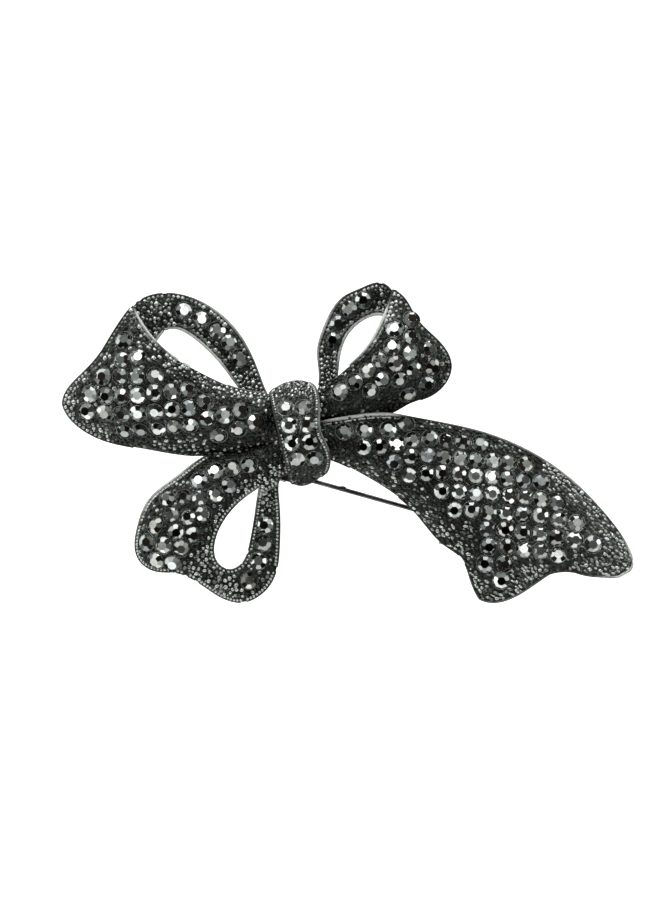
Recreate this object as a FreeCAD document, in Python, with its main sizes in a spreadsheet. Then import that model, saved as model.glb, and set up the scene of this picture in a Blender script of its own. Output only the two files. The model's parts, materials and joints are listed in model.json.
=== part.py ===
import FreeCAD, Part
import math
import os
import Sketcher

# Ribbon-bow brooch: four pave ribbons plugged into a raised knot, with a hinged pin stem
# and a turning safety catch on the back.  It stands as it is worn: the front faces -Y,
# +Z is up and +X is the viewer's right.  Outlines are given as (x, z) pairs measured from
# the middle of the knot, and heights are measured forward (-Y) from the flat back plane.
# The origin of the finished parts is the middle of the pin stem, on its axis.

V = FreeCAD.Vector
doc = FreeCAD.newDocument("bow_brooch")

SIZES = [
    # the cast ribbons and knot
    ("ribbon_thickness", 1.2),
    ("relief_room", 14.0),
    # the flat-backed stones and their seats
    ("stone_radius", 1.03),
    ("stone_table_radius", 0.52),
    ("girdle_depth", 0.45),
    ("crown_height", 0.5),
    ("seat_radius", 1.045),
    ("seat_depth", 0.45),
    # where the pin runs across the back
    ("hinge_x", -1.95),
    ("hinge_z", -5.23),
    ("pin_slope_deg", 15.7),
    ("pin_depth", 3.6),
    ("catch_distance", 22.55),
    # the pin stem
    ("stem_radius", 0.3),
    ("stem_length", 24.8),
    ("root_radius", 0.42),
    ("root_length", 1.6),
    ("taper_start", 20.6),
    ("taper_radius", 0.25),
    ("point_length", 2.4),
    ("point_radius", 0.04),
    ("eye_radius", 0.85),
    ("eye_width", 0.9),
    ("eye_bore_radius", 0.34),
    # the hinge
    ("base_thickness", 0.5),
    ("base_width", 1.9),
    ("base_reach", 1.7),
    ("ear_radius", 1.1),
    ("ear_gap", 1.0),
    ("rivet_radius", 0.3),
    ("rivet_head_radius", 0.55),
    ("rivet_head_height", 0.22),
    # the catch
    ("housing_outer_radius", 1.9),
    ("housing_inner_radius", 1.2),
    ("housing_width", 2.0),
    ("post_width", 1.6),
    ("post_reach", 7.5),
    ("roller_radius", 1.15),
    ("roller_bore_radius", 0.5),
    ("roller_slot_width", 0.9),
    ("flange_radius", 1.45),
    ("flange_thickness", 0.25),
    ("flange_play", 0.05),
    ("lever_width", 0.9),
    ("lever_thickness", 0.6),
    ("lever_reach", 3.0),
    ("lever_knob_radius", 0.45),
]

sheet = doc.addObject("Spreadsheet::Sheet", "sizes")
for row, (alias, value) in enumerate(SIZES, start=1):
    sheet.set("A%d" % row, alias)
    sheet.set("B%d" % row, str(value))
    sheet.setAlias("B%d" % row, alias)
doc.recompute()


def size(alias):
    return float(sheet.get(alias))


# ---------------------------------------------------------------- outlines, in millimetres
# Each outline is a ring of runs; two points make a straight run, more make a smooth one.

LEFT_FRONT_EDGE = [
    [(-2.0, 4.7), (-4.0, 5.1), (-7.7, 5.7), (-12.9, 7.9), (-16.5, 10.0), (-19.8, 13.3), (-21.6, 16.6)],
    [(-21.6, 16.6), (-22.9, 14.9), (-24.5, 12.4), (-25.8, 10.3), (-28.5, 7.4), (-30.3, 5.4), (-30.8, 3.8)],
    [(-30.8, 3.8), (-30.3, 2.6), (-28.5, 0.7), (-25.5, -0.9), (-20.0, -2.1), (-12.3, -3.0),
     (-7.7, -2.1), (-2.0, -0.7)],
    [(-2.0, -0.7), (-2.0, 4.7)],
]
LEFT_REAR_EDGE = [
    [(-29.5, 3.5), (-26.9, 7.7), (-23.7, 12.2), (-21.5, 16.6)],
    [(-21.5, 16.6), (-19.6, 17.8), (-16.1, 18.1), (-13.1, 17.2), (-10.5, 15.6), (-8.2, 13.3),
     (-6.4, 10.4), (-5.1, 7.3), (-4.0, 4.8), (-1.7, 3.2)],
    [(-1.7, 3.2), (-2.5, 1.2)],
    [(-2.5, 1.2), (-5.7, 3.4), (-7.8, 5.9), (-9.8, 8.7), (-11.8, 10.9), (-14.2, 12.9),
     (-16.1, 13.7), (-17.4, 13.5), (-18.5, 12.3), (-20.7, 9.8), (-23.5, 6.2), (-26.1, 2.7)],
    [(-26.1, 2.7), (-29.5, 3.5)],
]
UPPER_FRONT_EDGE = [
    [(0.5, 4.3), (2.5, 5.5), (4.8, 7.2), (6.9, 9.0), (8.8, 10.9), (10.3, 13.4), (11.3, 15.7), (12.2, 18.6)],
    [(12.2, 18.6), (13.9, 17.2), (15.2, 14.9), (17.4, 12.6), (19.3, 10.4), (19.8, 8.7)],
    [(19.8, 8.7), (19.1, 6.6), (17.0, 4.8), (14.4, 3.8), (12.2, 2.6), (9.2, 2.0), (6.0, 1.6), (0.5, 0.9)],
    [(0.5, 0.9), (0.5, 4.3)],
]
UPPER_REAR_EDGE = [
    [(12.0, 18.5), (10.5, 19.5), (7.9, 18.7), (6.0, 17.8), (4.4, 16.0), (3.2, 13.4), (2.5, 10.8),
     (2.5, 5.9), (0.9, 4.3)],
    [(0.9, 4.3), (1.2, 2.2)],
    [(1.2, 2.2), (3.5, 3.2), (4.8, 6.2), (5.2, 10.1), (6.1, 12.7), (7.9, 14.6), (10.5, 15.5),
     (13.4, 13.7), (17.3, 8.2)],
    [(17.3, 8.2), (19.1, 9.0)],
    [(19.1, 9.0), (16.9, 12.2), (14.2, 16.0), (12.0, 18.5)],
]
LOWER_EDGE = [
    [(-0.7, -0.5), (-6.4, -1.4), (-12.3, -3.1), (-16.1, -5.9), (-19.4, -8.6), (-20.9, -12.0),
     (-20.8, -16.5), (-18.7, -17.9), (-16.1, -18.1), (-12.2, -20.0), (-9.6, -21.6), (-7.3, -22.0),
     (-5.3, -21.2), (-3.6, -19.4), (-2.6, -14.6), (-2.7, -8.7), (-2.5, -5.9), (-0.7, -5.3)],
    [(-0.7, -5.3), (-0.7, -0.5)],
]
LOWER_HOLE = [
    [(-5.1, -7.0), (-8.7, -9.8), (-10.3, -12.1), (-11.1, -14.6), (-10.7, -16.8), (-9.1, -17.8),
     (-7.4, -17.0), (-6.4, -14.6), (-5.7, -10.7), (-5.1, -7.0)],
]
TAIL_EDGE = [
    [(0.5, 1.2), (6.6, 2.0), (10.5, 2.4), (17.0, 1.6), (24.4, -0.1), (32.0, -3.6), (36.0, -6.6),
     (39.5, -10.2), (42.4, -14.1), (43.4, -16.4)],
    [(43.4, -16.4), (43.2, -17.7), (42.2, -18.5), (39.5, -18.7), (38.0, -18.6), (35.9, -18.1)],
    [(35.9, -18.1), (34.2, -18.0), (32.6, -18.3)],
    [(32.6, -18.3), (29.8, -20.2), (27.7, -21.4), (25.5, -22.0), (23.5, -21.6)],
    [(23.5, -21.6), (22.2, -18.7), (21.1, -16.2), (19.0, -14.6), (15.2, -10.4), (12.5, -8.0),
     (9.2, -5.9), (6.0, -4.2), (0.5, -2.6)],
    [(0.5, -2.6), (0.5, 1.2)],
]
KNOT_EDGE = [
    [(-3.8, 5.2), (-2.6, 0.0), (-1.3, -5.6)],
    [(-1.3, -5.6), (-0.8, -6.6), (0.1, -6.9), (1.0, -6.8), (2.5, -6.0), (3.6, -5.1)],
    [(3.6, -5.1), (4.0, -3.2), (3.6, -1.7), (2.7, 0.3), (2.6, 2.3), (2.1, 6.0)],
    [(2.1, 6.0), (0.8, 6.8), (-0.5, 6.9), (-2.1, 6.5), (-3.8, 5.2)],
]

# ---------------------------------------------------------------- cross sections
# (one end, other end, heights spread evenly from one end to the other)

LEFT_FRONT = [
    ((-1.2, 6.2), (-1.2, -2.2), [3.2, 4.6, 5.2, 4.6, 3.0]),
    ((-4.8, 5.9), (-4.8, -2.0), [3.4, 5.0, 5.8, 5.0, 2.6]),
    ((-9.6, 7.2), (-8.3, -3.2), [3.4, 5.6, 6.6, 5.2, 1.8]),
    ((-14.4, 9.8), (-14.2, -3.8), [3.8, 6.4, 7.4, 5.6, 1.6]),
    ((-18.7, 13.7), (-20.7, -3.0), [4.4, 7.0, 7.8, 5.6, 1.6]),
    ((-20.7, 16.5), (-26.1, -2.0), [4.4, 6.4, 6.8, 5.2, 1.8]),
    ((-22.2, 17.7), (-30.0, -0.7), [3.6, 5.0, 5.4, 4.4, 2.0]),
    ((-24.3, 18.6), (-33.0, 3.0), [2.0, 2.8, 3.0, 2.6, 1.6]),
]
LEFT_REAR = [
    ((-0.9, 4.3), (-4.8, 0.4), [2.6, 3.0, 2.6]),
    ((-3.8, 6.2), (-8.7, 4.0), [2.4, 2.9, 2.2]),
    ((-5.1, 10.0), (-10.8, 7.2), [2.0, 2.6, 1.8]),
    ((-7.4, 13.9), (-12.5, 9.5), [1.6, 2.4, 1.6]),
    ((-11.1, 17.3), (-14.4, 11.6), [1.6, 2.4, 1.6]),
    ((-15.7, 19.1), (-16.2, 12.3), [2.0, 2.8, 1.8]),
    ((-20.0, 18.9), (-18.1, 10.8), [2.8, 3.2, 2.2]),
    ((-23.5, 17.3), (-19.9, 8.2), [4.0, 3.6, 2.6]),
    ((-27.4, 11.4), (-22.6, 4.9), [4.0, 3.6, 2.6]),
    ((-32.1, 4.5), (-25.9, 1.2), [2.6, 3.0, 2.4]),
]
UPPER_FRONT = [
    ((-0.1, 5.3), (-0.1, 0.4), [3.0, 4.2, 4.6, 4.0, 2.6]),
    ((3.5, 7.2), (4.4, 0.7), [3.0, 4.8, 5.4, 4.2, 2.0]),
    ((6.4, 10.1), (9.0, 1.2), [3.4, 5.6, 6.4, 4.8, 1.6]),
    ((9.2, 13.7), (13.8, 2.2), [4.0, 6.4, 7.0, 5.0, 1.6]),
    ((10.8, 17.3), (18.3, 4.0), [4.2, 6.2, 6.6, 4.8, 1.6]),
    ((12.0, 19.4), (21.2, 6.9), [3.6, 5.0, 5.2, 4.0, 1.6]),
    ((13.4, 20.9), (23.0, 9.5), [2.0, 2.8, 3.0, 2.4, 1.4]),
]
UPPER_REAR = [
    ((-0.4, 4.4), (3.0, 1.6), [2.2, 2.4, 2.2]),
    ((1.3, 6.6), (5.6, 5.6), [2.2, 2.5, 2.2]),
    ((1.4, 10.8), (5.9, 9.9), [1.8, 2.3, 1.8]),
    ((2.3, 14.2), (6.9, 12.1), [1.6, 2.2, 1.6]),
    ((4.3, 17.6), (8.2, 13.7), [1.6, 2.4, 1.6]),
    ((7.5, 19.9), (10.3, 14.4), [2.0, 2.8, 2.0]),
    ((11.1, 20.9), (12.1, 14.2), [3.2, 3.2, 2.4]),
    ((14.7, 19.4), (13.1, 12.9), [4.0, 3.6, 2.6]),
    ((18.3, 14.0), (14.7, 10.8), [4.0, 3.6, 2.6]),
    ((20.6, 10.6), (15.6, 8.0), [3.0, 3.2, 2.5]),
]
LOWER_FRONT = [
    ((0.1, -0.9), (0.1, -5.6), [3.4, 3.8, 3.6]),
    ((-4.8, -0.9), (-4.0, -7.4), [3.0, 4.0, 3.2]),
    ((-8.7, -1.7), (-6.4, -9.0), [2.6, 4.2, 3.2]),
    ((-13.1, -2.5), (-8.2, -10.5), [2.2, 4.6, 3.4]),
    ((-18.3, -5.9), (-9.5, -12.1), [1.8, 5.0, 3.6]),
    ((-21.7, -10.7), (-10.0, -13.7), [1.8, 5.4, 3.6]),
    ((-22.5, -16.2), (-10.0, -15.2), [1.6, 5.2, 3.4]),
    ((-19.4, -19.8), (-9.8, -16.2), [1.6, 4.6, 3.2]),
    ((-13.5, -21.4), (-9.4, -16.8), [1.6, 4.0, 3.0]),
    ((-7.7, -23.5), (-8.7, -16.5), [1.5, 3.4, 2.6]),
]
LOWER_REAR = [
    ((-7.7, -23.5), (-8.7, -16.5), [1.5, 3.4, 2.6]),
    ((-1.7, -20.7), (-7.9, -15.7), [1.4, 2.9, 2.3]),
    ((-1.2, -14.6), (-7.3, -13.9), [1.4, 2.5, 1.8]),
    ((-1.4, -9.4), (-6.6, -9.4), [1.4, 2.2, 1.6]),
    ((-1.4, -4.8), (-6.1, -5.3), [1.4, 2.2, 1.6]),
]
TAIL = [
    ((-0.1, 2.7), (-0.1, -3.5), [3.4, 4.4, 4.6, 4.2, 3.0]),
    ((4.0, 2.7), (4.0, -4.3), [3.2, 4.6, 5.0, 4.4, 2.6]),
    ((8.6, 3.2), (6.9, -5.6), [3.0, 4.8, 5.4, 4.6, 2.2]),
    ((14.4, 3.0), (11.2, -8.2), [2.8, 4.8, 5.6, 4.8, 2.0]),
    ((21.6, 1.7), (15.7, -12.3), [2.6, 4.6, 5.4, 4.8, 2.2]),
    ((28.7, -0.7), (19.6, -16.8), [2.4, 4.2, 4.8, 4.6, 2.6]),
    ((35.9, -5.6), (22.0, -21.3), [2.2, 3.8, 4.2, 4.4, 3.0]),
    ((41.1, -10.7), (23.5, -23.9), [2.0, 3.6, 3.8, 4.2, 3.2]),
    ((45.6, -16.5), (26.1, -27.2), [2.0, 3.4, 3.6, 4.0, 3.2]),
]
KNOT = [
    ((-4.5, 6.5), (-2.6, -7.7), [1.2, 6.0, 7.8, 8.3, 7.8, 6.0, 1.2]),
    ((-3.3, 6.7), (-1.4, -7.5), [1.1, 5.7, 7.5, 8.0, 7.5, 5.7, 1.1]),
    ((-0.9, 7.0), (1.0, -7.2), [1.0, 5.6, 7.3, 7.8, 7.3, 5.6, 1.0]),
    ((1.6, 7.4), (3.5, -6.8), [1.1, 5.7, 7.5, 8.0, 7.5, 5.7, 1.1]),
    ((3.0, 7.6), (4.9, -6.6), [1.2, 6.0, 7.8, 8.3, 7.8, 6.0, 1.2]),
]

# ---------------------------------------------------------------- stones, row by row

LEFT_STONES = [
    (-22.6, 12.0),
    (-22.9, 9.4), (-20.8, 9.8),
    (-25.4, 7.3), (-23.1, 7.3), (-21.0, 7.3), (-18.6, 7.4),
    (-27.1, 5.1), (-25.0, 4.8), (-22.9, 4.7), (-20.8, 4.9), (-18.6, 5.2), (-16.4, 5.3), (-14.3, 5.6),
    (-27.6, 2.9), (-25.2, 2.6), (-23.0, 2.5), (-20.8, 2.6), (-18.6, 2.8), (-16.4, 3.1), (-14.2, 3.3),
    (-12.1, 4.0),
    (-22.6, 0.2), (-20.5, 0.4), (-18.3, 0.5), (-16.2, 0.8), (-14.1, 1.0), (-11.8, 1.8), (-9.6, 2.3),
    (-7.4, 2.9),
    (-10.4, -0.3), (-7.9, 0.5), (-5.6, 1.4),
]
LEFT_REAR_STONES = [(-15.0, 15.9), (-12.7, 14.8), (-10.7, 13.4), (-9.0, 11.8), (-7.7, 9.8)]
UPPER_STONES = [
    (12.4, 13.5), (14.6, 14.7),
    (14.6, 12.5), (12.1, 11.2),
    (17.1, 10.9), (14.5, 10.3), (12.6, 9.0),
    (10.5, 9.5), (8.9, 8.1), (14.9, 8.1),
    (17.4, 8.5), (16.6, 6.4), (13.0, 6.9),
    (10.9, 6.9), (9.3, 5.5), (7.2, 6.6),
    (5.3, 5.3), (14.1, 5.0),
]
UPPER_REAR_STONES = [(4.4, 12.1), (5.1, 14.3), (6.5, 16.1), (8.4, 17.3)]
LOWER_STONES = [
    (-10.9, -4.9), (-8.7, -4.5), (-6.5, -4.1),
    (-13.0, -6.2), (-9.0, -6.7),
    (-15.0, -8.3), (-12.9, -8.4), (-10.8, -7.9),
    (-17.1, -8.5), (-12.4, -10.5),
    (-16.6, -10.7), (-14.5, -10.9), (-18.7, -12.0),
    (-15.9, -12.9), (-13.7, -13.3), (-19.7, -14.2),
    (-17.6, -14.6), (-15.3, -15.0), (-18.6, -16.6),
    (-16.4, -17.0),
]
LOWER_REAR_STONES = [(-4.5, -12.0), (-4.7, -14.3), (-5.3, -16.7), (-6.5, -19.2)]
KNOT_STONES = [
    (-1.7, 3.1), (0.6, 3.3),
    (-1.3, 0.9), (1.0, 1.1),
    (-0.9, -1.3), (1.4, -1.1),
    (-0.3, -3.5), (2.0, -3.3),
]
TAIL_STONES = [
    (5.9, 0.2), (8.5, 0.4), (11.6, 0.5), (13.9, 1.2),
    (8.4, -1.8), (10.5, -1.8), (12.7, -1.4), (14.8, -0.9), (17.0, -0.7), (19.2, -1.0), (21.3, -1.2),
    (23.5, -1.4),
    (12.4, -3.9), (14.6, -3.1), (16.7, -3.0), (18.9, -3.1), (21.0, -3.3), (23.1, -3.5), (25.2, -3.6),
    (27.3, -3.9), (29.5, -4.1),
    (14.4, -5.5), (16.5, -5.2), (18.6, -5.2), (20.7, -5.4), (22.9, -5.6), (25.0, -5.7), (27.2, -6.0),
    (29.3, -6.2), (31.5, -6.4),
    (18.6, -7.5), (20.8, -7.6), (23.0, -7.8), (25.1, -7.9), (27.2, -8.2), (29.4, -8.3), (31.5, -8.6),
    (33.7, -9.2),
    (20.2, -10.0), (22.4, -9.9), (24.7, -10.2), (26.9, -10.4), (29.1, -10.6), (31.4, -10.8), (33.8, -11.3),
    (36.1, -11.7),
    (24.6, -12.5), (26.8, -12.6), (29.1, -12.9), (31.3, -13.1), (33.6, -13.6), (35.9, -13.9), (38.2, -14.5),
    (24.7, -14.8), (27.0, -14.8), (29.2, -15.1), (31.4, -15.3), (33.7, -15.8),
    (24.2, -17.0), (26.7, -17.0),
    (26.3, -19.2),
]


# ---------------------------------------------------------------- the ribbons and the knot

def free_sketch(name, corner, along, up):
    """A sketch with its corner at a point, its x along one direction and its y along another."""
    sketch = doc.addObject("Sketcher::SketchObject", name)
    turn = FreeCAD.Rotation(along, up, along.cross(up), "XYZ")
    sketch.Placement = FreeCAD.Placement(corner, turn)
    return sketch


def draw_run(sketch, points):
    """One run of an outline: straight for two points, smooth for more."""
    if len(points) == 2:
        sketch.addGeometry(Part.LineSegment(points[0], points[1]), False)
        return
    curve = Part.BSplineCurve()
    curve.interpolate(points)
    sketch.addGeometry(curve, False)


def section(name, one_end, other_end, heights):
    """A ribbon's front line across one chord, standing up from the back plane."""
    corner = V(one_end[0], 0, one_end[1])
    chord = V(other_end[0], 0, other_end[1]) - corner
    sketch = free_sketch(name, corner, V(chord.x, 0, chord.z).normalize(), V(0, -1, 0))
    step = chord.Length / (len(heights) - 1)
    draw_run(sketch, [V(step * count, height, 0) for count, height in enumerate(heights)])
    return sketch


def front_sheet(name, stations):
    """The front face of a ribbon, lofted through its cross sections."""
    loft = doc.addObject("Part::Loft", name + "_sheet")
    loft.Sections = [
        section("%s_section_%d" % (name, number), *station)
        for number, station in enumerate(stations, start=1)
    ]
    loft.Solid = False
    loft.Ruled = False
    return loft


def extrusion(name, base, direction, length):
    pulled = doc.addObject("Part::Extrusion", name)
    pulled.Base = base
    pulled.DirMode = "Custom"
    pulled.Dir = direction
    pulled.setExpression("LengthFwd", length)
    return pulled


def outline_prism(name, rings):
    """The plan outline of a piece, standing from the back plane through the whole relief."""
    sketch = free_sketch(name + "_edge", V(0, 0, 0), V(1, 0, 0), V(0, 0, 1))
    for ring in rings:
        for run in ring:
            draw_run(sketch, [V(x, z, 0) for x, z in run])
    prism = extrusion(name + "_prism", sketch, V(0, -1, 0), "sizes.relief_room")
    prism.FaceMakerClass = "Part::FaceMakerBullseye"
    prism.Solid = True
    return prism


def boolean(kind, name, base, tool):
    joined = doc.addObject("Part::" + kind, name)
    joined.Base = base
    joined.Tool = tool
    return joined


def ribbon_piece(name, stations, prism, thickness="sizes.ribbon_thickness"):
    """A length of ribbon: its front sheet thickened backward and trimmed to the outline."""
    sheet_face = front_sheet(name, stations)
    slab = extrusion(name + "_slab", sheet_face, V(0, 1, 0), thickness)
    return sheet_face, boolean("Common", name + "_piece", slab, prism)


def shadow_of(name, sheet_face, prism):
    """Everything behind a ribbon's front face, used to trim what passes behind it."""
    slab = extrusion(name + "_shadow_slab", sheet_face, V(0, 1, 0), "sizes.relief_room")
    return boolean("Common", name + "_shadow", slab, prism)


left_front_prism = outline_prism("left_front", [LEFT_FRONT_EDGE])
left_front_sheet, left_front = ribbon_piece("left_front", LEFT_FRONT, left_front_prism)
left_rear_sheet, left_rear = ribbon_piece(
    "left_rear", LEFT_REAR, outline_prism("left_rear", [LEFT_REAR_EDGE])
)
left_blank = boolean("Fuse", "left_blank", left_front, left_rear)

tail_prism = outline_prism("tail", [TAIL_EDGE])
tail_sheet, tail_blank = ribbon_piece("tail", TAIL, tail_prism)

upper_front_sheet, upper_front = ribbon_piece(
    "upper_front", UPPER_FRONT, outline_prism("upper_front", [UPPER_FRONT_EDGE])
)
upper_rear_sheet, upper_rear = ribbon_piece(
    "upper_rear", UPPER_REAR, outline_prism("upper_rear", [UPPER_REAR_EDGE])
)
upper_whole = boolean("Fuse", "upper_whole", upper_front, upper_rear)
upper_blank = boolean("Cut", "upper_blank", upper_whole, shadow_of("tail", tail_sheet, tail_prism))

lower_prism = outline_prism("lower", [LOWER_EDGE, LOWER_HOLE])
lower_front_sheet, lower_front = ribbon_piece("lower_front", LOWER_FRONT, lower_prism)
lower_rear_sheet, lower_rear = ribbon_piece("lower_rear", LOWER_REAR, lower_prism)
lower_whole = boolean("Fuse", "lower_whole", lower_front, lower_rear)
left_shadow = shadow_of("left_front", left_front_sheet, left_front_prism)
lower_blank = boolean("Cut", "lower_blank", lower_whole, left_shadow)

knot_sheet, knot_whole = ribbon_piece(
    "knot", KNOT, outline_prism("knot", [KNOT_EDGE]), "sizes.relief_room"
)
sockets = doc.addObject("Part::Compound", "knot_sockets")
sockets.Links = [left_blank, upper_blank, lower_blank, tail_blank]
knot_blank = boolean("Cut", "knot_blank", knot_whole, sockets)
doc.recompute()


# ---------------------------------------------------------------- stones and seats

def octagon(name, radius):
    shape = doc.addObject("Part::RegularPolygon", name)
    shape.Polygon = 8
    shape.setExpression("Circumradius", radius)
    return shape


def stone_pattern():
    """One flat-backed stone: its girdle stands on z = 0 and its table faces +Z."""
    girdle = doc.addObject("Part::Prism", "stone_girdle")
    girdle.Polygon = 8
    girdle.setExpression("Circumradius", "sizes.stone_radius")
    girdle.setExpression("Height", "sizes.girdle_depth")
    lower_ring = octagon("stone_girdle_ring", "sizes.stone_radius")
    lower_ring.setExpression("Placement.Base.z", "sizes.girdle_depth")
    upper_ring = octagon("stone_table_ring", "sizes.stone_table_radius")
    upper_ring.setExpression("Placement.Base.z", "sizes.girdle_depth + sizes.crown_height")
    crown = doc.addObject("Part::Loft", "stone_crown")
    crown.Sections = [lower_ring, upper_ring]
    crown.Solid = True
    crown.Ruled = True
    return boolean("Fuse", "stone_pattern", girdle, crown)


def seat_placements(sheet_face, stones):
    """For each stone, a placement on the ribbon's face with +Z looking out of it."""
    places = []
    for number, (x, z) in enumerate(stones):
        sight = Part.makeLine(V(x, -20, z), V(x, 1, z))
        gap, pairs, found = sight.distToShape(sheet_face.Shape)
        if gap > 1e-4 or found[0][3] != "Face":
            raise ValueError("stone %d of %s misses the ribbon" % (number, sheet_face.Label))
        outward = sheet_face.Shape.Faces[found[0][4]].normalAt(*found[0][5])
        if outward.y > 0:
            outward = outward.negative()
        turn = FreeCAD.Rotation(V(0, 0, 1), outward)
        places.append(FreeCAD.Placement(pairs[0][1], turn))
    return places


def feature(name, shape):
    held = doc.addObject("Part::Feature", name)
    held.Shape = shape
    return held


def seat_cutters(name, places):
    """Round blind holes that the stones drop into."""
    cutter = Part.makeCylinder(size("seat_radius"), size("seat_depth") + 1.5, V(0, 0, -size("seat_depth")))
    return feature(name, Part.makeCompound([cutter.transformed(place.toMatrix()) for place in places]))


def stone_group(name, places):
    """The stones of one ribbon face, each a separate solid resting on its seat's floor."""
    sink = FreeCAD.Placement(V(0, 0, -size("seat_depth")), FreeCAD.Rotation())
    stones = []
    for place in places:
        stone = pattern.Shape.copy()
        stone.Placement = place.multiply(sink)
        stones.append(stone)
    return feature(name, Part.makeCompound(stones))


def set_with_stones(name, blank, faces):
    """Sinks the seats into a blank and lays the stones; returns the piece and its stone groups."""
    seats = []
    groups = []
    for group_name, sheet_face, stones in faces:
        places = seat_placements(sheet_face, stones)
        seats.append(seat_cutters(group_name + "_seats", places))
        groups.append(stone_group(group_name, places))
    tool = doc.addObject("Part::Compound", name + "_seats")
    tool.Links = seats
    return [boolean("Cut", name, blank, tool)] + groups


pattern = stone_pattern()
doc.recompute()

cast_parts = set_with_stones("left_loop", left_blank, [
    ("left_loop_stones", left_front_sheet, LEFT_STONES),
    ("left_loop_rear_stones", left_rear_sheet, LEFT_REAR_STONES),
])
cast_parts += set_with_stones("upper_loop", upper_blank, [
    ("upper_loop_stones", upper_front_sheet, UPPER_STONES),
    ("upper_loop_rear_stones", upper_rear_sheet, UPPER_REAR_STONES),
])
cast_parts += set_with_stones("lower_loop", lower_blank, [
    ("lower_loop_stones", lower_front_sheet, LOWER_STONES),
    ("lower_loop_rear_stones", lower_rear_sheet, LOWER_REAR_STONES),
])
cast_parts += set_with_stones("tail", tail_blank, [("tail_stones", tail_sheet, TAIL_STONES)])
cast_parts += set_with_stones("knot", knot_blank, [("knot_stones", knot_sheet, KNOT_STONES)])


# ---------------------------------------------------------------- pin hardware
# Each body is drawn with x along the pin, y away from the back and z along the hinge axis.

pin_turn = FreeCAD.Rotation(V(0, 1, 0), size("pin_slope_deg"))


def pin_place(along, depth):
    """A place on the pin line, so far from the hinge and so far behind the back plane."""
    foot = V(size("hinge_x"), depth, size("hinge_z"))
    return FreeCAD.Placement(foot + pin_turn.multVec(V(along, 0, 0)), pin_turn)


def new_body(name, place):
    body = doc.addObject("PartDesign::Body", name)
    body.Placement = place
    return body


def body_sketch(body, name, role):
    sketch = body.newObject("Sketcher::SketchObject", name)
    plane = [item for item in body.Origin.OriginFeatures if item.Role == role][0]
    sketch.AttachmentSupport = (plane, [""])
    sketch.MapMode = "FlatFace"
    return sketch


def draw_circle(sketch, x, y, radius):
    """A circle whose radius follows a cell of the sheet."""
    edge = sketch.addGeometry(Part.Circle(V(x, y, 0), V(0, 0, 1), size(radius)), False)
    number = sketch.addConstraint(Sketcher.Constraint("Radius", edge, size(radius)))
    sketch.setExpression("Constraints[%d]" % number, "sizes." + radius)


def draw_polygon(sketch, points):
    corners = [V(x, y, 0) for x, y in points]
    for here, there in zip(corners, corners[1:] + corners[:1]):
        sketch.addGeometry(Part.LineSegment(here, there), False)


def pull(body, kind, name, sketch, length, midplane=True, reverse=False):
    """A pad or a pocket from a sketch of the same body."""
    solid = body.newObject("PartDesign::" + kind, name)
    solid.Profile = sketch
    solid.Midplane = midplane
    solid.Reversed = reverse
    solid.setExpression("Length", length)
    sketch.Visibility = False
    return solid


def spin(body, name, sketch, axis):
    turned = body.newObject("PartDesign::Revolution", name)
    turned.Profile = sketch
    turned.ReferenceAxis = (sketch, [axis])
    turned.Angle = 360
    return turned


def hinge_base():
    """A folded bracket: a foot soldered to the knot's back and two ears for the rivet."""
    body = new_body("hinge_base", pin_place(0, 0))
    half = size("base_width") / 2
    back = -size("ear_radius")
    reach = size("base_reach")
    foot = body_sketch(body, "foot_edge", "XZ_Plane")
    foot.addGeometry(Part.LineSegment(V(back, -half, 0), V(reach, -half, 0)), False)
    round_end = Part.Circle(V(reach, 0, 0), V(0, 0, 1), half)
    foot.addGeometry(Part.ArcOfCircle(round_end, -math.pi / 2, math.pi / 2), False)
    foot.addGeometry(Part.LineSegment(V(reach, half, 0), V(back, half, 0)), False)
    foot.addGeometry(Part.LineSegment(V(back, half, 0), V(back, -half, 0)), False)
    pull(body, "Pad", "foot", foot, "sizes.base_thickness", midplane=False, reverse=True)

    axis = size("pin_depth")
    radius = size("ear_radius")
    ears = body_sketch(body, "ear_edge", "XY_Plane")
    ears.addGeometry(Part.LineSegment(V(-radius, 0, 0), V(radius, 0, 0)), False)
    ears.addGeometry(Part.LineSegment(V(radius, 0, 0), V(radius, axis, 0)), False)
    round_top = Part.Circle(V(0, axis, 0), V(0, 0, 1), radius)
    ears.addGeometry(Part.ArcOfCircle(round_top, 0, math.pi), False)
    ears.addGeometry(Part.LineSegment(V(-radius, axis, 0), V(-radius, 0, 0)), False)
    pull(body, "Pad", "ears", ears, "sizes.base_width")

    gap = body_sketch(body, "gap_edge", "XY_Plane")
    floor = size("base_thickness")
    draw_polygon(gap, [(-2, floor), (2, floor), (2, axis + 2), (-2, axis + 2)])
    pull(body, "Pocket", "gap", gap, "sizes.ear_gap")

    bore = body_sketch(body, "rivet_hole_edge", "XY_Plane")
    draw_circle(bore, 0, axis, "rivet_radius")
    pull(body, "Pocket", "rivet_hole", bore, "sizes.base_width + 1")
    return body


def hinge_rivet():
    """The rivet through both ears and the stem's eye, with a coned head on each side."""
    body = new_body("hinge_rivet", pin_place(0, size("pin_depth")))
    half = size("base_width") / 2
    end = half + size("rivet_head_height")
    shank = size("rivet_radius")
    head = size("rivet_head_radius")
    tip = head - size("rivet_head_height") * 0.8
    edge = body_sketch(body, "rivet_edge", "XZ_Plane")
    draw_polygon(edge, [
        (0, -end), (tip, -end), (head, -half), (shank, -half),
        (shank, half), (head, half), (tip, end), (0, end),
    ])
    spin(body, "rivet_turned", edge, "V_Axis")
    return body


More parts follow.
